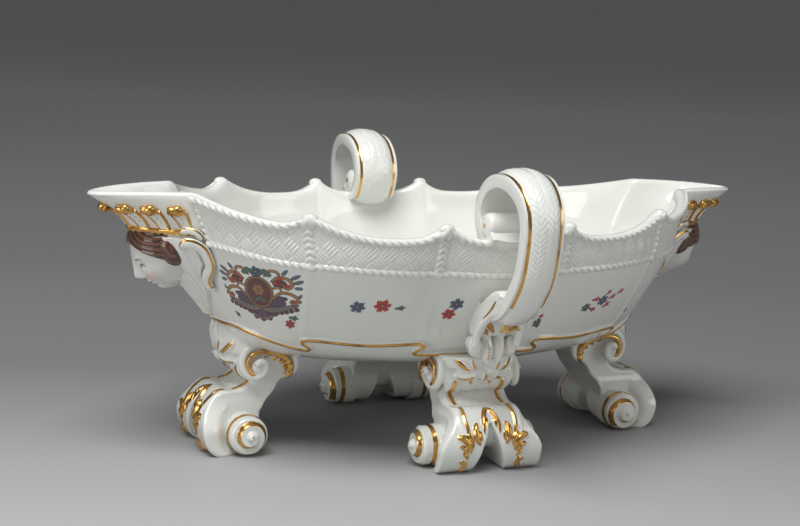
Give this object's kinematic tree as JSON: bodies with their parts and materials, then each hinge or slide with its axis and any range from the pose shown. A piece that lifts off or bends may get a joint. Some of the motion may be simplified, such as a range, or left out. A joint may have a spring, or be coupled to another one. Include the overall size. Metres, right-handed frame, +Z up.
{
  "type": "sauceboat",
  "caption": "Double-lipped oval sauceboat with scroll feet, looped strap handles and a crowned mask under each lip, in glazed porcelain.",
  "frame": {"origin": "on the table, under the middle of the bowl", "axes": "+Z up, +X along the boat towards one pouring lip, +Y towards one handle"},
  "size_m": [0.26, 0.1872, 0.1076],
  "materials": {
    "porcelain": "glossy clear glaze over white porcelain",
    "gilded_porcelain": "glazed porcelain gilded on its raised parts"
  },
  "bodies": {
    "root": {"bowl": "porcelain", "handle_back": "porcelain", "handle_front": "porcelain", "drop_back": "porcelain", "drop_front": "porcelain", "foot_back": "porcelain", "foot_front": "porcelain", "foot_right": "porcelain", "foot_left": "porcelain", "mask_right": "porcelain", "mask_left": "porcelain", "crown_right": "gilded_porcelain", "crown_left": "gilded_porcelain"}
  },
  "joints": []
}
